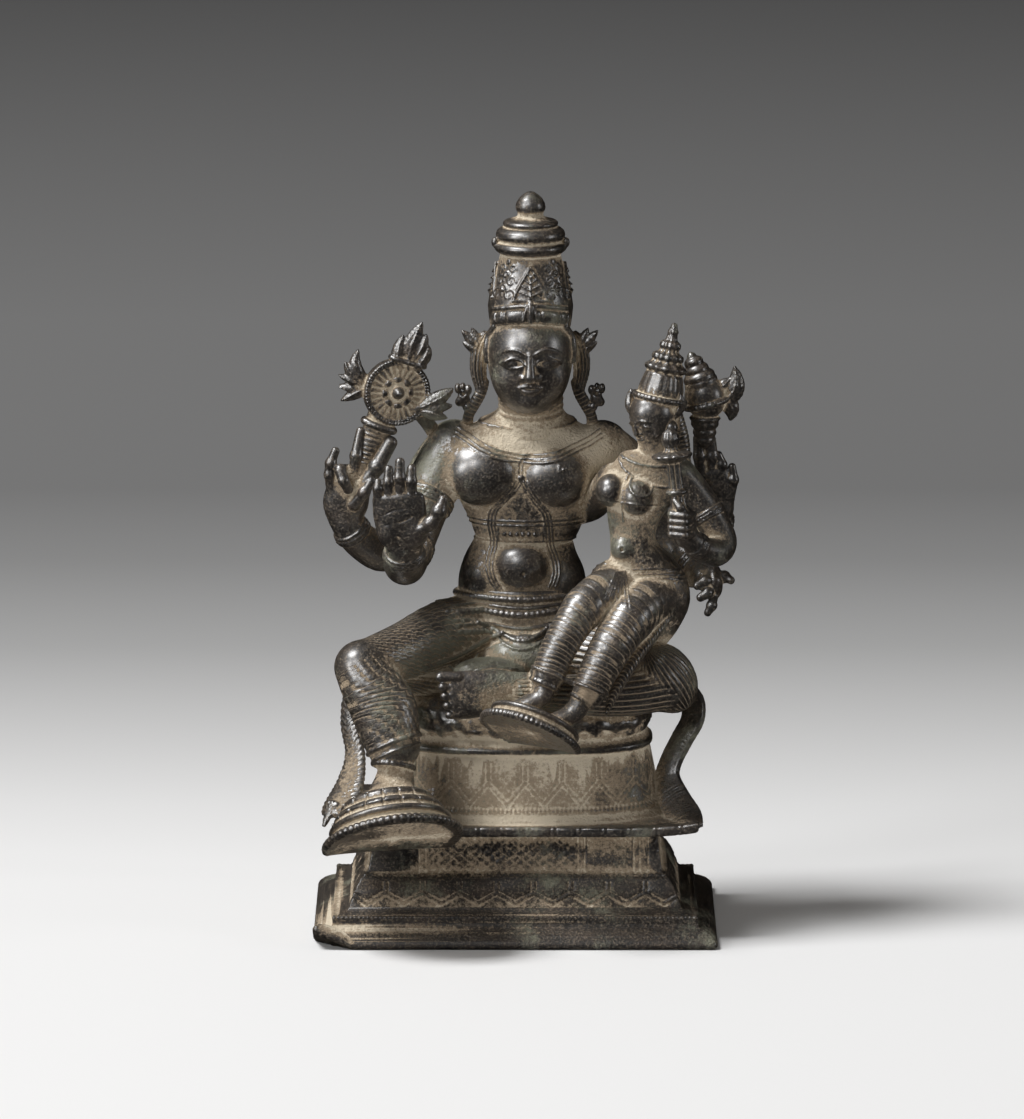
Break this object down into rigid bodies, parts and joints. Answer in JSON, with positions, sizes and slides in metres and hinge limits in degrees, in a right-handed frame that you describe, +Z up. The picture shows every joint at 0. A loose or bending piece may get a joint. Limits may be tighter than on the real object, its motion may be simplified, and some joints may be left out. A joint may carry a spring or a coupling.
{
  "type": "copper alloy deity figure",
  "caption": "Small patinated copper alloy temple image: a multi-armed seated god with his consort on his left thigh, cast in one with a drum-shaped seat and a stepped rectangular plinth.",
  "frame": {"origin": "middle of the plinth's underside, on the surface it stands on", "axes": "+Z up, the god faces -Y, +X towards his left side where the consort sits"},
  "size_m": [0.0816, 0.0644, 0.14],
  "materials": {
    "patinated_copper_alloy": "brown-black handled patina, softly polished on the high places, with buff earth and a grey-green bloom in the hollows"
  },
  "bodies": {
    "root": {"deity_group_with_plinth": "patinated_copper_alloy"}
  },
  "joints": []
}
